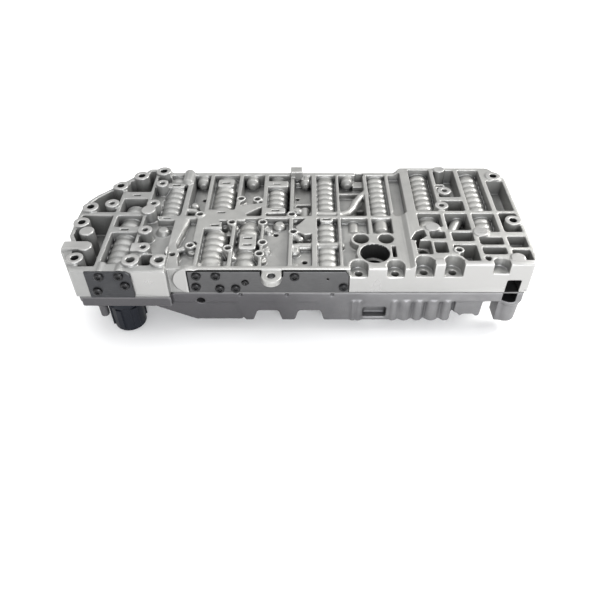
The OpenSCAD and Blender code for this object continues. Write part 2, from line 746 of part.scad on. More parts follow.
module channel_spots() {
    for (t = valve_trains)
        translate([t[0] - 3.2, min(t[1], t[1] + t[3] * t[2]) + 0.3 * t[2], lower_top - 6.4])
            cube([6.4, 0.5 * t[2], 10]);
}

module lower_valve_body() color(lower_grey) at_origin() {
    difference() {
        union() {
            translate([0, 0, flange_z]) linear_extrude(flange_t) polygon(seam_outline);
            translate([-67.5, 1.2, -band_h]) cube([144, 30, band_h + flange_z + 2]);
            translate([-150, 40, -belly_h]) cube([300, belly_back - 40, belly_h + flange_z + 3]);
            translate([-110, 25, -tooth_h + 4]) cube([240, 20, tooth_h - 4 + flange_z + 1]);
            front_teeth();
            front_flutes();
            corner_column();
            notched_web();
            drill(post_at[0], post_at[1], post_r, flange_z - 15, flange_z + 2);
            for (b = mount_bosses) drill(b[0], b[1], boss_d / 2 - 0.7, flange_z - 4, flange_z + 2);
        }
        belly_pockets();
        solenoid_seats();
        channel_spots();
        front_pocket();
        drill(connector_at[0], connector_at[1], plug_d / 2 + 2.2, flange_z - 30, flange_z);
        for (b = mount_bosses) drill(b[0], b[1], boss_hole_d / 2, flange_z - 5, 1);
        for (s = scallops) if (s[4]) drill(s[0], s[1], front_core_d / 2, flange_z - 6, 1);
        for (c = clamp_spots) drill(c[0], c[1], clamp_d / 2 + bolt_gap, flange_z - 1, 1);
        for (c = dowel_spots) drill(c[0], c[1], dowel_d / 2 + 0.02, -dowel_l / 2 - 1.6, 1);
        drill(port_at[0], port_at[1], port_d / 2 - port_lip, -tooth_h - 1, 1);
        translate([51, -4, -tooth_h + 4.5]) cube([22, 12, 12.5]);
        along_y(-101, -2, flange_z + 1, 1) cylinder(r = 3.9, h = 14);
        for (x = [-63.5, -20.5, 21.5]) along_y(x, -2, lower_top - 2.4, 1) cylinder(r = 1.8, h = 8);
    }
}

// Front plates and their screws

module left_end_plate() color(dark_steel) at_origin() {
    top = block_h - rib_drop - 0.5;
    front_extrude(block_front - plate_t, block_front)
        difference() {
            polygon([[end_plate_left, 1.2], [end_plate_right, 1.2], [end_plate_right, top - 4],
                [end_plate_right - 3.5, top], [end_plate_left, top]]);
            for (s = left_screws) translate(s) circle(r = screw_d / 2 + bolt_gap);
        }
}

module long_retainer_plate() color(steel_grey) at_origin() {
    top = rim_h - front_lip - 1.4;
    front_extrude(recess_y - plate_t, recess_y)
        difference() {
            polygon([[recess_left + plate_gap, 0.6], [recess_right - plate_gap, 0.6],
                [recess_right - plate_gap, top - 5], [recess_right - plate_gap - 3, top],
                [recess_left + plate_gap, top]]);
            for (s = long_screws) translate(s) circle(r = screw_d / 2 + bolt_gap);
            translate([-58, bore_z - 1.2]) circle(r = 3);
            translate([17, 16.5]) circle(r = 1);
            translate([lug_x - lug_r - 0.8, rim_h - lug_drop - lug_t - 0.8])
                square([2 * lug_r + 1.6, 20]);
        }
}

// Six-lobe socket of a screw head
module lobe_socket(r, depth) {
    linear_extrude(depth) {
        circle(r = r * 0.8);
        for (a = [0 : 60 : 300]) rotate(a) translate([r * 0.78, 0]) circle(r = r * 0.26);
    }
}

// Screw with its head on the plane z = 0, pointing down
module lobe_screw(d, l, head_d, head_h) {
    difference() {
        rotate_extrude()
            polygon([[0, -l], [d / 2 - 0.4, -l], [d / 2, -l + 0.6], [d / 2, 0], [head_d / 2, 0],
                [head_d / 2, head_h * 0.6], [head_d * 0.38, head_h], [0, head_h]]);
        translate([0, 0, head_h * 0.35]) lobe_socket(head_d * 0.24, head_h);
    }
}

module left_plate_screws() color(black_oxide) at_origin() {
    for (s = left_screws)
        along_y(s[0], block_front - plate_t, s[1], -1)
            lobe_screw(screw_d, screw_l, screw_head_d, screw_head_h);
}

module long_plate_screws() color(black_oxide) at_origin() {
    for (s = long_screws)
        along_y(s[0], recess_y - plate_t, s[1], -1)
            lobe_screw(screw_d, screw_l, screw_head_d, screw_head_h);
}

// Connector

module connector_housing() color(plastic_black) at_origin() {
    r = plug_d / 2;
    socket_r = r - socket_wall;
    top = flange_z;
    translate([connector_at[0], connector_at[1], top - connector_l])
        difference() {
            union() {
                rotate_extrude()
                    polygon([
                        [0, 0], [r - 0.8, 0], [r, 0.8], [r, connector_l - 9], [r + 1.8, connector_l - 7],
                        [r + 1.8, connector_l], [0, connector_l]
                    ]);
                for (a = [35 : 55 : 325])
                    rotate(a) translate([r - 1, -3, 3]) cube([2.6, 6, connector_l - 12.6]);
            }
            translate([0, 0, -1]) cylinder(r = socket_r, h = 23);
            for (p = pin_spots) translate([p[0], p[1], 20]) cylinder(r = 0.85, h = 8);
        }
}

pin_spots = [
    for (ring = [[4, 5], [9, 9]])
        for (k = [0 : ring[1] - 1]) ring[0] * [cos(k * 360 / ring[1]), sin(k * 360 / ring[1])]
];

module connector_pins() color("goldenrod") at_origin() {
    for (p = pin_spots)
        translate([connector_at[0] + p[0], connector_at[1] + p[1], flange_z - connector_l + 13])
            rotate_extrude() polygon([[0, 0], [0.5, 0], [0.8, 0.6], [0.8, 14.9], [0, 14.9]]);
}

// Valve trains

module spool_valve(i) color("silver") at_origin() {
    t = valve_trains[i];
    l = spool_l(i);
    land_r = bore_r - valve_gap;
    n = max(2, round(l / 16));
    land = 6.5;
    step = (l - 2 - land) / (n - 1);
    lands = [
        for (k = [0 : n - 1])
            let (z = k * step)
                for (p = [[land_r * 0.6, z], [land_r, z], [land_r, z + land], [land_r * 0.6, z + land]]) p
    ];
    along_y(t[0], valve_y(i, spool_start(i)), bore_z, t[3])
        rotate_extrude()
            polygon(concat([[0, 0]], lands, [[land_r * 0.6, l], [0, l]]));
}

// Points of a coil of wire that stands on z = 0
function coil_ring(a, r, wire, rise, sides) = [
    for (s = [0 : sides - 1])
        let (w = wire / 2 * cos(s * 360 / sides), h = wire / 2 * sin(s * 360 / sides))
            [(r + w) * cos(a), (r + w) * sin(a), rise + h]
];

module coil_spring(r, wire, l, turns) {
    steps = 9;
    sides = 6;
    n = turns * steps;
    points = [
        for (k = [0 : n])
            for (p = coil_ring(k * 360 / steps, r, wire, wire / 2 + (l - wire) * k / n, sides)) p
    ];
    faces = concat(
        [[for (s = [0 : sides - 1]) s]],
        [[for (s = [sides - 1 : -1 : 0]) n * sides + s]],
        [
            for (k = [0 : n - 1])
                for (s = [0 : sides - 1])
                    let (a = k * sides + s, b = k * sides + (s + 1) % sides)
                        [a, a + sides, b + sides, b]
        ]
    );
    polyhedron(points, faces);
}

module valve_spring(i) color("gainsboro") at_origin() {
    t = valve_trains[i];
    room = 0.15;
    along_y(t[0], valve_y(i, t[4] + plug_l + room), bore_z, t[3])
        coil_spring(bore_r - 1 - spring_wire / 2, spring_wire, spring_l - 2 * room, 6);
}

module bore_plugs() color("silver") at_origin() {
    for (i = [0 : len(valve_trains) - 1])
        along_y(valve_trains[i][0], valve_y(i, valve_trains[i][4]), bore_z, valve_trains[i][3])
            rotate_extrude()
                polygon([[0, 5], [2.4, 5], [2.4, 0], [bore_r - 0.8, 0], [bore_r - 0.03, 0.8],
                    [bore_r - 0.03, plug_l], [stop_r, plug_l], [stop_r, plug_l + stop_l],
                    [0, plug_l + stop_l]]);
}

module valve_stop_keys() color("silver") at_origin() {
    for (i = [0 : len(valve_trains) - 1])
        if (valve_trains[i][5])
            translate([
                valve_trains[i][0] - key_w / 2 + slot_gap,
                valve_y(i, valve_trains[i][4] - key_t / 2) - key_t / 2, bore_z - bore_r + 1
            ])
                cube([key_w - 2 * slot_gap, key_t, rim_h - bore_z + bore_r - 4]);
}

// Small inner pieces

module check_balls() color("silver") at_origin() {
    for (i = [0, 2, 4, 6, 8, 10])
        translate([valve_trains[i][0], valve_y(i, 0.5 * valve_trains[i][2]), lower_top - 6.4 + ball_d / 2])
            sphere(d = ball_d);
}

module dowel_pins() color("silver") at_origin() {
    for (c = dowel_spots)
        translate([c[0], c[1], -dowel_l / 2 - 1.5])
            rotate_extrude()
                polygon([[0, 0], [dowel_d / 2 - 0.6, 0], [dowel_d / 2, 0.6], [dowel_d / 2, dowel_l - 0.6],
                    [dowel_d / 2 - 0.6, dowel_l], [0, dowel_l]]);
}

module clamp_bolts() color(dark_steel) at_origin() {
    for (c = clamp_spots)
        translate([c[0], c[1], flange_z])
            rotate([180, 0, 0])
                lobe_screw(clamp_d, flange_t + separator_t + clamp_reach, clamp_head_d, clamp_head_h);
}

// Solenoids

module pressure_solenoid(k) color("slategray") at_origin() {
    seat = belly_back - snout_l;
    along_y(solenoid_x(k), seat - nose_l, solenoid_z, 1)
        difference() {
            union() {
                rotate_extrude()
                    polygon([
                        [0, 0], [nose_d / 2 - 1, 0], [nose_d / 2, 1], [nose_d / 2, nose_l],
                        [snout_d / 2, nose_l], [snout_d / 2, nose_l + snout_l],
                        [neck_d / 2, nose_l + snout_l], [neck_d / 2, nose_l + snout_l + strip_t + 0.3],
                        [can_d / 2, nose_l + snout_l + strip_t + 0.3],
                        [can_d / 2, nose_l + snout_l + strip_t + can_l - 1],
                        [can_d / 2 - 1.2, nose_l + snout_l + strip_t + can_l],
                        [0, nose_l + snout_l + strip_t + can_l]
                    ]);
                translate([-6, -4, nose_l + snout_l + strip_t + can_l - 2]) cube([12, 8, 7]);
            }
            translate([-4.6, -2.6, nose_l + snout_l + strip_t + can_l]) cube([9.2, 5.2, 8]);
        }
}

module solenoid_clamp_strip() color(steel_grey) at_origin() {
    half = (solenoid_n - 1) / 2 * solenoid_pitch + can_d / 2;
    front_extrude(belly_back, belly_back + strip_t)
        difference() {
            translate([-half, solenoid_z - 9]) square([2 * half, 22]);
            for (k = [0 : solenoid_n - 1])
                translate([solenoid_x(k), solenoid_z]) {
                    circle(r = neck_d / 2 + 0.3);
                    translate([-neck_d / 2 - 0.1, -20]) square([neck_d + 0.2, 20]);
                }
            for (k = [0 : solenoid_n - 2])
                translate([(solenoid_x(k) + solenoid_x(k + 1)) / 2, solenoid_z])
                    circle(r = screw_d / 2 + bolt_gap);
        }
}

module clamp_strip_screws() color(dark_steel) at_origin() {
    for (k = [0 : solenoid_n - 2])
        along_y((solenoid_x(k) + solenoid_x(k + 1)) / 2, belly_back + strip_t, solenoid_z, 1)
            lobe_screw(screw_d, screw_l, screw_head_d, screw_head_h);
}

upper_valve_body();
separator_plate();
lower_valve_body();
left_end_plate();
left_plate_screws();
long_retainer_plate();
long_plate_screws();
connector_housing();
connector_pins();
bore_plugs();
valve_stop_keys();
check_balls();
dowel_pins();
clamp_bolts();
solenoid_clamp_strip();
clamp_strip_screws();
pressure_solenoid(0);  // pressure_solenoid_1
pressure_solenoid(1);  // pressure_solenoid_2
pressure_solenoid(2);  // pressure_solenoid_3
pressure_solenoid(3);  // pressure_solenoid_4
pressure_solenoid(4);  // pressure_solenoid_5
pressure_solenoid(5);  // pressure_solenoid_6
spool_valve(0);  // line_pressure_valve
spool_valve(1);  // lockup_valve
spool_valve(2);  // shift_valve_1
spool_valve(3);  // clutch_valve_a
spool_valve(4);  // shift_valve_2
spool_valve(5);  // clutch_valve_b
spool_valve(6);  // shift_valve_3
spool_valve(7);  // clutch_valve_c
spool_valve(8);  // reducing_valve
spool_valve(9);  // holding_valve_a
spool_valve(10);  // holding_valve_b
valve_spring(0);  // line_pressure_spring
valve_spring(1);  // lockup_spring
valve_spring(2);  // shift_spring_1
valve_spring(3);  // clutch_spring_a
valve_spring(4);  // shift_spring_2
valve_spring(5);  // clutch_spring_b
valve_spring(6);  // shift_spring_3
valve_spring(7);  // clutch_spring_c
valve_spring(8);  // reducing_spring
valve_spring(9);  // holding_spring_a
valve_spring(10);  // holding_spring_b
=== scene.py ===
import json
import math
import bmesh
import bpy
import numpy as np
import openvdb as vdb
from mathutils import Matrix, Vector


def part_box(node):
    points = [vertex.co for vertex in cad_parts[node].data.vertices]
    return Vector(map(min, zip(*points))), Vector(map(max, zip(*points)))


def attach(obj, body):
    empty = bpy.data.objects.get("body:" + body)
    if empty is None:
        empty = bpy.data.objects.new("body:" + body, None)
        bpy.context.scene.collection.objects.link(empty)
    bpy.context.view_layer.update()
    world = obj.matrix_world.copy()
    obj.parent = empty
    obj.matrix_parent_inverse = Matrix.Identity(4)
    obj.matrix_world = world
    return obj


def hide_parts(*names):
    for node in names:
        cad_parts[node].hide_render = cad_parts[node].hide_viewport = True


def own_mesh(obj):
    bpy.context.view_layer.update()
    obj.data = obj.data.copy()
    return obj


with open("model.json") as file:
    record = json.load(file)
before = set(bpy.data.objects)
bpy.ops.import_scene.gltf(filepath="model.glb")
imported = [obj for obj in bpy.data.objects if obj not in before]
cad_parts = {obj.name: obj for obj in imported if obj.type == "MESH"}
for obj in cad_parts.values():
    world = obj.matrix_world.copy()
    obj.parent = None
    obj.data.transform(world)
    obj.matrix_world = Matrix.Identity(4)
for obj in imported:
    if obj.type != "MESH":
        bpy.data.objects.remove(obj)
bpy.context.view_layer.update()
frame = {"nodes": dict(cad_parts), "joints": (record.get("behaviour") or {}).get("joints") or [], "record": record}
nodes = frame["nodes"]
slotOf = {s["node"]: s["material_slot"] for s in frame["record"]["subparts"]}
scene = bpy.context.scene
mmPerMetre = 1000
print("stage: frame loaded,", len(nodes), "nodes")


# camera, floor and light

cameraSet = {"place": (0.0105, -0.4821, 0.4325), "tilt": 46.3, "lens": 36.36, "sensor": 36,
             "shiftX": -0.015, "nearest": 0.01}


def makeCamera():
    data = bpy.data.cameras.new("studioCamera")
    data.lens = cameraSet["lens"]
    data.sensor_width = cameraSet["sensor"]
    data.shift_x = cameraSet["shiftX"]
    data.clip_start = cameraSet["nearest"]
    cam = bpy.data.objects.new("studioCamera", data)
    cam.location = cameraSet["place"]
    cam.rotation_euler = (math.radians(cameraSet["tilt"]), 0, 0)
    scene.collection.objects.link(cam)
    scene.camera = cam


lightSet = {
    "rightKey": {"place": (1.05, 0.55, 0.95), "aim": (0, 0.02, 0.03), "size": 0.7, "power": 26,
                 "tint": (1, 0.99, 0.97)},
    "topSoft": {"place": (-0.15, 0.35, 1.35), "aim": (0, 0, 0), "size": 1.5, "power": 11,
                "tint": (1, 1, 1)},
    "frontFill": {"place": (0.3, -1.25, 0.5), "aim": (0, 0, 0.05), "size": 0.9, "power": 21,
                  "tint": (0.97, 0.98, 1)},
}
roomLight = {"tone": (1, 1, 1, 1), "strength": 0.8}


def makeLights():
    for name, spec in lightSet.items():
        data = bpy.data.lights.new(name, "AREA")
        data.shape = "DISK"
        data.size = spec["size"]
        data.energy = spec["power"]
        data.color = spec["tint"]
        lamp = bpy.data.objects.new(name, data)
        lamp.location = spec["place"]
        aim = Vector(spec["aim"]) - Vector(spec["place"])
        lamp.rotation_mode = "QUATERNION"
        lamp.rotation_quaternion = aim.to_track_quat("-Z", "Y")
        scene.collection.objects.link(lamp)
    world = bpy.data.worlds.new("studioRoom")
    world.use_nodes = True
    sky = world.node_tree.nodes["Background"]
    sky.inputs["Color"].default_value = roomLight["tone"]
    sky.inputs["Strength"].default_value = roomLight["strength"]
    scene.world = world
    scene.view_settings.view_transform = "Standard"
    scene.view_settings.look = "None"


floorSet = {"half": 6.0, "tone": (0.93, 0.93, 0.93, 1), "rough": 0.9, "gloss": 0.1}


def makeFloor():
    half = floorSet["half"]
    corners = [(-half, -half, 0), (half, -half, 0), (half, half, 0), (-half, half, 0)]
    mesh = bpy.data.meshes.new("paleFloor")
    mesh.from_pydata(corners, [], [(0, 1, 2, 3)])
    floor = bpy.data.objects.new("paleFloor", mesh)
    scene.collection.objects.link(floor)
    mat, tree, shader = newMaterial("paleFloor")
    shader.inputs["Base Color"].default_value = floorSet["tone"]
    shader.inputs["Roughness"].default_value = floorSet["rough"]
    shader.inputs["Specular IOR Level"].default_value = floorSet["gloss"]
    mesh.materials.append(mat)


# small helpers for the node trees

def newMaterial(name):
    mat = bpy.data.materials.new(name)
    mat.use_nodes = True
    tree = mat.node_tree
    return mat, tree, tree.nodes["Principled BSDF"]


def addNode(tree, kind, **settings):
    n = tree.nodes.new(kind)
    for key, value in settings.items():
        if key in n.inputs:
            n.inputs[key].default_value = value
        else:
            setattr(n, key, value)
    return n


def objectPlace(tree):
    return addNode(tree, "ShaderNodeTexCoord").outputs["Object"]


def along(tree, axis):
    split = addNode(tree, "ShaderNodeSeparateXYZ")
    tree.links.new(objectPlace(tree), split.inputs[0])
    return split.outputs[axis]


def meshValue(tree, name):
    return addNode(tree, "ShaderNodeAttribute", attribute_name=name).outputs["Fac"]


def openness(tree, samples, reach):
    return addNode(tree, "ShaderNodeAmbientOcclusion", samples=samples, Distance=reach).outputs["AO"]


def noise(tree, scale, detail=2.0, rough=0.5, stretch=None):
    source = objectPlace(tree)
    if stretch:
        spread = addNode(tree, "ShaderNodeMapping", Scale=stretch)
        tree.links.new(source, spread.inputs["Vector"])
        source = spread.outputs["Vector"]
    n = addNode(tree, "ShaderNodeTexNoise", Scale=scale, Detail=detail, Roughness=rough)
    tree.links.new(source, n.inputs["Vector"])
    return n.outputs["Fac"]


def remap(tree, source, fromLow, fromHigh, toLow=0.0, toHigh=1.0):
    n = tree.nodes.new("ShaderNodeMapRange")
    n.inputs["From Min"].default_value = fromLow
    n.inputs["From Max"].default_value = fromHigh
    n.inputs["To Min"].default_value = toLow
    n.inputs["To Max"].default_value = toHigh
    tree.links.new(source, n.inputs["Value"])
    return n.outputs["Result"]


def maths(tree, job, a, b):
    n = tree.nodes.new("ShaderNodeMath")
    n.operation = job
    for i, v in enumerate((a, b)):
        if isinstance(v, (int, float)):
            n.inputs[i].default_value = v
        else:
            tree.links.new(v, n.inputs[i])
    return n.outputs[0]


def mixNumber(tree, share, a, b):
    n = tree.nodes.new("ShaderNodeMix")
    for i, source in ((0, share), (2, a), (3, b)):
        tree.links.new(source, n.inputs[i])
    return n.outputs[0]


def mixColour(tree, share, a, b):
    n = tree.nodes.new("ShaderNodeMix")
    n.data_type = "RGBA"
    tree.links.new(share, n.inputs["Factor"])
    for name, v in (("A", a), ("B", b)):
        socket = [s for s in n.inputs if s.name == name and s.type == "RGBA"][0]
        if isinstance(v, tuple):
            socket.default_value = (*v, 1)
        else:
            tree.links.new(v, socket)
    return [s for s in n.outputs if s.type == "RGBA"][0]


def bump(tree, shader, height, strength, distance):
    n = addNode(tree, "ShaderNodeBump", Strength=strength, Distance=distance)
    tree.links.new(height, n.inputs["Height"])
    tree.links.new(n.outputs["Normal"], shader.inputs["Normal"])


# cast skin and milled faces of the two castings

castLooks = {
    "upper": {"pale": (0.29, 0.289, 0.279), "shadedTone": (0.268, 0.269, 0.264), "shadeRampSpan": (-0.14, -0.08),
              "deep": (0.18, 0.181, 0.179), "bore": (0.016, 0.016, 0.017), "edge": (0.55, 0.55, 0.54),
              "cut": (0.312, 0.31, 0.305), "rough": 0.4, "cutRough": 0.32, "metal": 0.7},
    "lower": {"pale": (0.168, 0.167, 0.17), "shadedTone": (0.07, 0.068, 0.072), "shadeRampSpan": (-0.02, 0.09),
              "deep": (0.06, 0.06, 0.063), "bore": (0.012, 0.012, 0.013), "edge": (0.3, 0.298, 0.304),
              "cut": (0.7, 0.7, 0.7), "rough": 0.46, "cutRough": 0.35, "metal": 0.7},
}
castSkin = {
    "cloudScale": 55, "cloudSpan": (0.35, 0.7), "cloudShare": 0.35,
    "gritScale": 900, "gritSpan": (0.2, 0.8), "gritRough": (-0.07, 0.09), "gritDepth": 0.0004,
    "gritStrength": 0.55, "gritOnCuts": 0.08,
    "lineScale": 60, "lineStretch": (1, 22, 1), "lineSpan": (0.3, 0.7), "lineShare": 0.22,
    "lineRough": (-0.05, 0.07),
    "hollowSpan": (0.5, 0.76), "boreShadeSpan": (0.8, 0.95), "wearAndHighlightSpan": (0.44, 0.26), "wearAndHighlightShare": 0.6,
    "aoShadeReach": 0.005, "aoShadeSamples": 8, "aoShadeSpan": (0.55, 0.18), "aoShadeShare": 0.97,
}


def castMetal(name, look):
    mat, tree, shader = newMaterial(name)
    hollow, ridge, milled = (meshValue(tree, key) for key in ("hollow", "ridge", "milled"))
    cloud = noise(tree, castSkin["cloudScale"], 3)
    grit = noise(tree, castSkin["gritScale"], 2, 0.6)
    lines = noise(tree, castSkin["lineScale"], 2, 0.5, castSkin["lineStretch"])   # cutter lines
    leftShade = remap(tree, along(tree, "X"), *look["shadeRampSpan"])   # painted shade: skin darker towards the left end
    skin = mixColour(tree, leftShade, look["shadedTone"], look["pale"])
    blotch = remap(tree, cloud, *castSkin["cloudSpan"], 0, castSkin["cloudShare"])
    # painted shade in hollows and inner corners, plus random blotches of tone
    shade = maths(tree, "ADD", remap(tree, hollow, *castSkin["hollowSpan"]), blotch)
    body = mixColour(tree, shade, skin, look["deep"])
    scored = remap(tree, lines, *castSkin["lineSpan"], 0, castSkin["lineShare"])
    cut = mixColour(tree, scored, look["cut"], look["pale"])
    body = mixColour(tree, milled, body, cut)
    wearAndHighlight = remap(tree, ridge, *castSkin["wearAndHighlightSpan"], 0, castSkin["wearAndHighlightShare"])   # edges lighter, partly real wear and partly painted highlight
    body = mixColour(tree, wearAndHighlight, body, look["edge"])
    boreShade = remap(tree, hollow, *castSkin["boreShadeSpan"])   # painted shade on the walls of the bores, the front window and the deepest hollows
    body = mixColour(tree, boreShade, body, look["bore"])
    pocket = openness(tree, castSkin["aoShadeSamples"], castSkin["aoShadeReach"])
    aoShade = remap(tree, pocket, *castSkin["aoShadeSpan"], 0, castSkin["aoShadeShare"])   # painted shade in holes and corners, from ambient occlusion
    body = mixColour(tree, aoShade, body, look["bore"])
    tree.links.new(body, shader.inputs["Base Color"])
    gritty = remap(tree, grit, *castSkin["gritSpan"], *castSkin["gritRough"])
    rough = maths(tree, "ADD", look["rough"], gritty)
    lined = remap(tree, lines, *castSkin["lineSpan"], *castSkin["lineRough"])
    cutRough = maths(tree, "ADD", look["cutRough"], lined)
    tree.links.new(mixNumber(tree, milled, rough, cutRough), shader.inputs["Roughness"])
    shader.inputs["Metallic"].default_value = look["metal"]
    grain = maths(tree, "MULTIPLY", grit, remap(tree, milled, 0, 1, 1, castSkin["gritOnCuts"]))
    bump(tree, shader, grain, castSkin["gritStrength"], castSkin["gritDepth"])
    return mat


# the two castings: CAD solids with cast radii, lengths in mm

castings = {
    "upperCasting": {"node": "upper_valve_body", "look": "upper", "voxel": 0.5, "fillet": 0.45, "edge": 0.45,
                     "adapt": 0.02, "triangles": 190000, "hollowReach": 4.0, "ridgeReach": 1.2,
                     "cutHeights": (85.5,),   # z of the milled tops
                     "cutFronts": ((-73.9, 47, 215), (-79.9, -147.5, -116), (-75.1, -115, -80))},   # y, x, x
    "lowerCasting": {"node": "lower_valve_body", "look": "lower", "voxel": 0.65, "fillet": 1.2, "edge": 0.6,
                     "adapt": 0.02, "triangles": 120000, "hollowReach": 4.0, "ridgeReach": 1.2,
                     "cutHeights": (), "cutFronts": ()},
}
frontWindow = ((190.1, -73.3, 38.6), (203.5, -51.5, 66.8))   # low and high corner of the front window, whose walls get painted shade
milledFit = {"gap": 0.25, "square": 0.93}   # how near a face lies to its plane, and how squarely it looks
boreFit = {"slack": 0.25, "upright": 0.6, "steep": 0.9, "paleNames": "feed"}   # the feed ports get no painted shade
shadeGrid = {"hollowStep": 1.0, "ridgeStep": 0.6, "band": 1, "margin": 10}
boreShadeLevel = 0.92           # hollow value that paints shade on a bore wall
bandSpare = 2.5          # voxels kept beyond an offset


def readVectors(items, key):
    values = np.empty(len(items) * 3, np.float32)
    items.foreach_get(key, values)
    return values.reshape(-1, 3)


def meshArrays(mesh):
    mesh.calc_loop_triangles()
    corners = np.empty(len(mesh.loop_triangles) * 3, np.int32)
    mesh.loop_triangles.foreach_get("vertices", corners)
    return readVectors(mesh.vertices, "co"), corners.reshape(-1, 3)


def levelSet(points, voxel, outer, inner, triangles=None, quads=None):
    return vdb.FloatGrid.createLevelSetFromPolygons(
        points.astype(np.float32), triangles=triangles, quads=quads,
        transform=vdb.createLinearTransform(voxel),
        exBandWidth=outer / voxel + bandSpare, inBandWidth=inner / voxel + bandSpare)


def roundedSolid(mesh, voxel, fillet, edge, adapt):
    points, corners = meshArrays(mesh)
    grid = levelSet(points * mmPerMetre, voxel, fillet, 0, triangles=corners.astype(np.uint32))
    points, quads = grid.convertToQuads(isovalue=fillet)           # grow, so inner corners close
    grid = levelSet(points, voxel, 0, fillet + edge, quads=quads)
    points, quads = grid.convertToQuads(isovalue=-fillet - edge)   # shrink past the start
    grid = levelSet(points, voxel, edge, 0, quads=quads)
    return grid.convertToPolygons(isovalue=edge, adaptivity=adapt)   # back out, edges rounded


def boxBlur(field, reach):
    for axis in range(3):
        pad = [(0, 0)] * 3
        pad[axis] = (reach + 1, reach)
        sums = np.cumsum(np.pad(field, pad, mode="edge"), axis=axis, dtype=np.float32)
        n = field.shape[axis]
        high = np.take(sums, range(2 * reach + 1, 2 * reach + 1 + n), axis=axis)
        low = np.take(sums, range(0, n), axis=axis)
        field = (high - low) / (2 * reach + 1)
    return field


def hollowness(points, corners, reach, step):
    # share of metal round each point: low on an outer edge, high in an inner corner
    band, margin = shadeGrid["band"], shadeGrid["margin"]
    grid = levelSet(points, step, band, band, triangles=corners.astype(np.uint32))
    low = np.floor(points.min(0) / step).astype(int) - margin
    size = np.ceil(points.max(0) / step).astype(int) + margin - low
    field = np.empty(tuple(size), np.float32)
    grid.copyToArray(field, ijk=tuple(int(v) for v in low))
    solid = np.clip(0.5 - field / (2 * step), 0, 1)
    for _ in range(2):
        solid = boxBlur(solid, max(1, int(round(reach / step / 2))))
    at = points / step - low
    cell = np.floor(at).astype(int)
    part = (at - cell).astype(np.float32)
    value = np.zeros(len(points), np.float32)
    for dx in (0, 1):
        for dy in (0, 1):
            for dz in (0, 1):
                shares = np.abs(np.array((1 - dx, 1 - dy, 1 - dz), np.float32) - part)
                weight = shares[:, 0] * shares[:, 1] * shares[:, 2]
                value += weight * solid[cell[:, 0] + dx, cell[:, 1] + dy, cell[:, 2] + dz]
    return value


def buildMesh(name, points, triangles, quads):
    mesh = bpy.data.meshes.new(name)
    outward = [triangles[:, ::-1].ravel(), quads[:, ::-1].ravel()]   # corners turned, so faces look out
    corners = np.concatenate(outward).astype(np.int32)
    sides = np.concatenate([np.full(len(triangles), 3), np.full(len(quads), 4)]).astype(np.int32)
    starts = np.concatenate([[0], np.cumsum(sides)[:-1]]).astype(np.int32)
    mesh.vertices.add(len(points))
    mesh.vertices.foreach_set("co", points.astype(np.float32).ravel())
    mesh.loops.add(len(corners))
    mesh.loops.foreach_set("vertex_index", corners)
    mesh.polygons.add(len(sides))
    mesh.polygons.foreach_set("loop_start", starts)
    mesh.update(calc_edges=True)
    mesh.validate()
    return mesh


def applyModifiers(obj):
    old = obj.data
    obj.data = bpy.data.meshes.new_from_object(obj.evaluated_get(bpy.context.evaluated_depsgraph_get()))
    obj.modifiers.clear()
    bpy.data.meshes.remove(old)


def thinned(obj, target):
    obj.data.calc_loop_triangles()
    count = len(obj.data.loop_triangles)
    if count <= target:
        return
    obj.modifiers.new("thin", "DECIMATE").ratio = target / count
    applyModifiers(obj)


def flatShaded(obj):
    obj.data.shade_smooth()
    obj.modifiers.new("trueFlats", "WEIGHTED_NORMAL")   # large flats keep their own normals
    applyModifiers(obj)


def storeValue(mesh, name, values, domain="POINT"):
    layer = mesh.attributes.new(name, "FLOAT", domain)
    layer.data.foreach_set("value", values.astype(np.float32))


def milledShare(mesh, spec):
    centres = readVectors(mesh.polygons, "center") * mmPerMetre
    normals = readVectors(mesh.polygons, "normal")
    gap, square = milledFit["gap"], milledFit["square"]
    share = np.zeros(len(centres))
    for z in spec["cutHeights"]:
        share[(np.abs(centres[:, 2] - z) < gap) & (normals[:, 2] > square)] = 1
    for y, fromX, toX in spec["cutFronts"]:
        inside = (centres[:, 0] > fromX) & (centres[:, 0] < toX)
        share[(np.abs(centres[:, 1] - y) < gap) & (normals[:, 1] < -square) & inside] = 1
    return share


def boreWalls(mesh, points):
    upright = np.abs(readVectors(mesh.vertices, "normal")[:, 2]) < boreFit["upright"]
    inside = np.zeros(len(points), bool)
    for m in frame["record"]["mounts"]:
        steep = abs(m["axis"][2]) > boreFit["steep"]
        if m["kind"] == "bore" and steep and boreFit["paleNames"] not in m["name"]:
            x, y = m["pos_m"][:2]
            away = np.hypot(points[:, 0] - x, points[:, 1] - y) * mmPerMetre
            inside |= away < m["dims"]["r_mm"] + boreFit["slack"]
    return inside & upright


def roundedPiece(name, spec):
    voxel = spec["voxel"] * 1
    mesh = nodes[spec["node"]].data
    points, triangles, quads = roundedSolid(mesh, voxel, spec["fillet"], spec["edge"], spec["adapt"])
    low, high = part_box(spec["node"])
    points = np.clip(points / mmPerMetre, np.array(low), np.array(high))
    obj = bpy.data.objects.new(name, buildMesh(name, points, triangles, quads))
    scene.collection.objects.link(obj)
    thinned(obj, spec["triangles"])
    flatShaded(obj)
    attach(obj, "castings")
    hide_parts(spec["node"])
    return obj


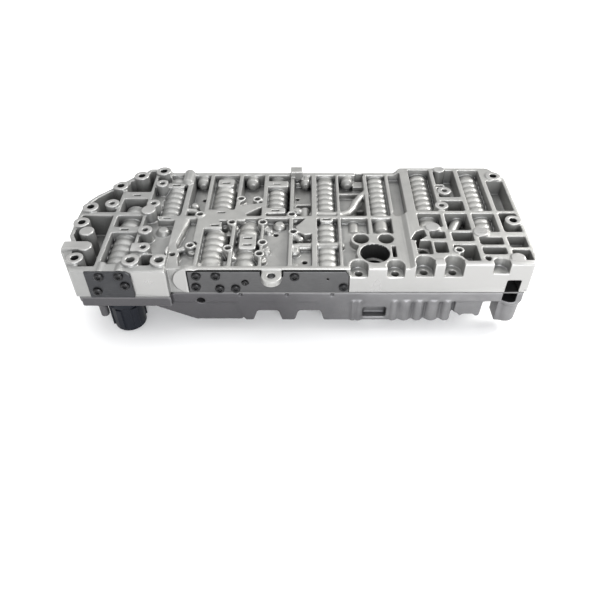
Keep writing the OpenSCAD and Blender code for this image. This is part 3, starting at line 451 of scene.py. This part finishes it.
def makeCasting(name, spec):
    mesh = roundedPiece(name, spec).data
    points, corners = meshArrays(mesh)
    inMm = points * mmPerMetre
    hollow = hollowness(inMm, corners, spec["hollowReach"], shadeGrid["hollowStep"])
    low, high = frontWindow
    inWindow = np.all((inMm > low) & (inMm < high), axis=1)
    # painted shade: bore walls and the front window set dark
    hollow[inWindow | boreWalls(mesh, points)] = boreShadeLevel
    storeValue(mesh, "hollow", hollow)
    storeValue(mesh, "ridge", hollowness(inMm, corners, spec["ridgeReach"], shadeGrid["ridgeStep"]))
    storeValue(mesh, "milled", milledShare(mesh, spec), "FACE")
    mesh.materials.append(castMetal(name + "Metal", castLooks[spec["look"]]))
    print("stage:", name, len(corners), "triangles")


# finishes of the small parts

finishes = {
    "darkSteel": {"base": (0.034, 0.035, 0.038), "alt": (0.062, 0.063, 0.066), "rough": 0.4, "metal": 0.9,
                  "grain": (1, 1, 18), "scale": 120},
    "plateSteel": {"base": (0.075, 0.075, 0.077), "alt": (0.105, 0.105, 0.106), "rough": 0.38, "metal": 0.95,
                   "grain": (1, 1, 18), "scale": 120},
    "separatorSteel": {"base": (0.13, 0.13, 0.13), "alt": (0.19, 0.19, 0.19), "rough": 0.4, "metal": 0.95,
                       "grain": (1, 8, 1), "scale": 120},
    "blackOxide": {"base": (0.006, 0.006, 0.007), "alt": (0.014, 0.014, 0.015), "rough": 0.3, "metal": 0.5,
                   "grain": (1, 1, 1), "scale": 700},
    "blackPlastic": {"base": (0.004, 0.005, 0.008), "alt": (0.008, 0.01, 0.015), "rough": 0.4, "metal": 0.0,
                     "gloss": 0.16, "grain": (1, 1, 1), "scale": 900},
    "pinBrass": {"base": (0.72, 0.52, 0.22), "alt": (0.62, 0.43, 0.17), "rough": 0.25, "metal": 1.0,
                 "grain": (1, 1, 6), "scale": 400},
    "turnedAluminium": {"base": (0.62, 0.62, 0.61), "alt": (0.72, 0.72, 0.71), "rough": 0.3, "metal": 1.0,
                        "grain": (1, 10, 1), "scale": 200},
    "brightSteel": {"base": (0.62, 0.62, 0.62), "alt": (0.55, 0.55, 0.55), "rough": 0.18, "metal": 1.0,
                    "grain": (1, 1, 1), "scale": 500},
    "zincSteel": {"base": (0.42, 0.42, 0.41), "alt": (0.5, 0.5, 0.47), "rough": 0.36, "metal": 0.95,
                  "grain": (1, 1, 1), "scale": 300},
    "solenoidSteel": {"base": (0.25, 0.255, 0.26), "alt": (0.33, 0.33, 0.33), "rough": 0.33, "metal": 0.95,
                      "grain": (1, 14, 1), "scale": 160},
    "springSteel": {"base": (0.5, 0.5, 0.5), "alt": (0.4, 0.4, 0.4), "rough": 0.3, "metal": 1.0,
                    "grain": (1, 1, 1), "scale": 600},
}
finishOfSlot = {
    "separator_steel": "separatorSteel", "dark_plate_steel": "darkSteel", "plate_steel": "plateSteel",
    "black_oxide_steel": "blackOxide", "black_plastic": "blackPlastic", "pin_brass": "pinBrass",
    "turned_aluminium": "turnedAluminium", "bright_steel": "brightSteel", "zinc_steel": "zincSteel",
    "solenoid_steel": "solenoidSteel", "spring_steel": "springSteel",
}
partSkin = {
    "lineSpan": (0.3, 0.7), "lineStrength": 0.12, "lineDepth": 0.0002, "plainGloss": 0.5,
    "cloudScale": 70, "cloudSpan": (0.3, 0.7), "cloudShare": (0.4, 1.0),
    "roughSpan": (0.25, 0.75), "smoother": 0.06, "rougher": 0.08,
    "aoShadeReach": 0.003, "aoShadeSamples": 6, "aoShadeSpan": (0.6, 0.1), "aoShadeShare": 0.9, "aoShadeTone": 0.2,
}


def plainFinish(name, f):
    mat, tree, shader = newMaterial(name)
    lines = noise(tree, f["scale"], 3, 0.55, f["grain"])
    cloud = noise(tree, partSkin["cloudScale"], 2)
    lined = remap(tree, lines, *partSkin["lineSpan"])
    clouded = remap(tree, cloud, *partSkin["cloudSpan"], *partSkin["cloudShare"])
    body = mixColour(tree, maths(tree, "MULTIPLY", lined, clouded), f["base"], f["alt"])
    # painted shade in holes and corners, from ambient occlusion
    pocket = openness(tree, partSkin["aoShadeSamples"], partSkin["aoShadeReach"])
    aoShade = remap(tree, pocket, *partSkin["aoShadeSpan"], 0, partSkin["aoShadeShare"])
    body = mixColour(tree, aoShade, body, tuple(v * partSkin["aoShadeTone"] for v in f["base"]))
    tree.links.new(body, shader.inputs["Base Color"])
    smooth, coarse = f["rough"] - partSkin["smoother"], f["rough"] + partSkin["rougher"]
    tree.links.new(remap(tree, lines, *partSkin["roughSpan"], smooth, coarse), shader.inputs["Roughness"])
    shader.inputs["Metallic"].default_value = f["metal"]
    shader.inputs["Specular IOR Level"].default_value = f.get("gloss", partSkin["plainGloss"])
    bump(tree, shader, lines, partSkin["lineStrength"], partSkin["lineDepth"])
    return mat


solenoidCap = {"node": "pressure_solenoid_1", "finish": "solenoidSteel", "length": 0.0066, "seam": 0.0001,
               "tone": (0.014, 0.014, 0.016)}


def addSolenoidCaps(mat):
    # moulded plastic end with the plug, on a steel can
    tree = mat.node_tree
    shader = tree.nodes["Principled BSDF"]
    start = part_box(solenoidCap["node"])[1].y - solenoidCap["length"]
    cap = remap(tree, along(tree, "Y"), start, start + solenoidCap["seam"])
    steel = shader.inputs["Base Color"].links[0].from_socket
    tree.links.new(mixColour(tree, cap, steel, solenoidCap["tone"]), shader.inputs["Base Color"])
    metal = finishes[solenoidCap["finish"]]["metal"]
    tree.links.new(remap(tree, cap, 0, 1, metal, 0), shader.inputs["Metallic"])


# plates, screws and plastic with broken edges, in the place of their plain solids

smallParts = {
    "darkEndPlate": {"node": "left_end_plate", "voxel": 0.3, "fillet": 0.3, "edge": 0.4,
                     "adapt": 0.01, "triangles": 30000},
    "longPlate": {"node": "long_retainer_plate", "voxel": 0.3, "fillet": 0.3, "edge": 0.4,
                  "adapt": 0.01, "triangles": 40000},
    "darkPlateScrews": {"node": "left_plate_screws", "voxel": 0.14, "fillet": 0.15, "edge": 0.3,
                        "adapt": 0.01, "triangles": 60000},
    "longPlateScrews": {"node": "long_plate_screws", "voxel": 0.14, "fillet": 0.15, "edge": 0.3,
                        "adapt": 0.01, "triangles": 60000},
    "plugSocket": {"node": "connector_housing", "voxel": 0.3, "fillet": 0.35, "edge": 0.35,
                   "adapt": 0.01, "triangles": 60000},
}


def makeSmallPart(name, spec, material):
    obj = roundedPiece(name, spec)
    obj.data.materials.append(material)
    print("stage:", name, len(obj.data.polygons), "faces")


platePin = {"x": -0.0475, "z": 0.0643, "sides": 32, "node": "long_retainer_plate", "weld": 1e-6,
            "profile": ((0, -0.2), (1.15, -0.2), (1.35, -1.2), (2.3, -1.5),   # radius and depth in mm
                        (2.8, -1.1), (2.9, -0.3), (2.9, 2.4), (0, 2.4))}


def makePlatePin(material):
    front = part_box(platePin["node"])[0].y
    points, faces = [], []
    n = platePin["sides"]
    for r, depth in platePin["profile"]:
        for k in range(n):
            turn = 2 * math.pi * k / n
            points.append((platePin["x"] + r * math.cos(turn) / mmPerMetre,
                           front + depth / mmPerMetre,
                           platePin["z"] + r * math.sin(turn) / mmPerMetre))
    for ring in range(len(platePin["profile"]) - 1):
        for k in range(n):
            a, b = ring * n + k, ring * n + (k + 1) % n
            faces.append((a, a + n, b + n, b))
    mesh = bpy.data.meshes.new("platePin")
    mesh.from_pydata(points, [], faces)
    joined = bmesh.new()
    joined.from_mesh(mesh)
    bmesh.ops.remove_doubles(joined, verts=joined.verts, dist=platePin["weld"])   # ends meet on the axis
    joined.to_mesh(mesh)
    joined.free()
    mesh.shade_smooth()
    mesh.materials.append(material)
    pin = bpy.data.objects.new("platePin", mesh)
    scene.collection.objects.link(pin)
    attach(pin, "castings")
    print("stage: platePin", len(faces), "faces")


def makeCoils(material):
    # a coil spring for each valve joint, copied from its spring node
    for joint in frame["joints"]:
        valve = joint["child"]
        node = valve.replace("valve", "spring")
        coil = bpy.data.objects.new(node + "Coil", nodes[node].data.copy())
        coil.data.materials.clear()
        coil.data.materials.append(material)
        scene.collection.objects.link(coil)
        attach(coil, "castings")
        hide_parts(node)
        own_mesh(coil)


def dressNodes():
    made = {name: plainFinish(name, f) for name, f in finishes.items()}
    addSolenoidCaps(made[solenoidCap["finish"]])
    makePlatePin(made["blackOxide"])
    makeCoils(made["springSteel"])
    for name, spec in smallParts.items():
        makeSmallPart(name, spec, made[finishOfSlot[slotOf[spec["node"]]]])
    rounded = [spec["node"] for spec in (castings | smallParts).values()]
    for node, slot in slotOf.items():
        if node not in rounded:
            nodes[node].data.materials.clear()
            nodes[node].data.materials.append(made[finishOfSlot[slot]])
    print("stage: dressed", len(slotOf) - len(rounded), "plain nodes")


makeCamera()
makeLights()
makeFloor()
for castingName, castingSpec in castings.items():
    makeCasting(castingName, castingSpec)
dressNodes()
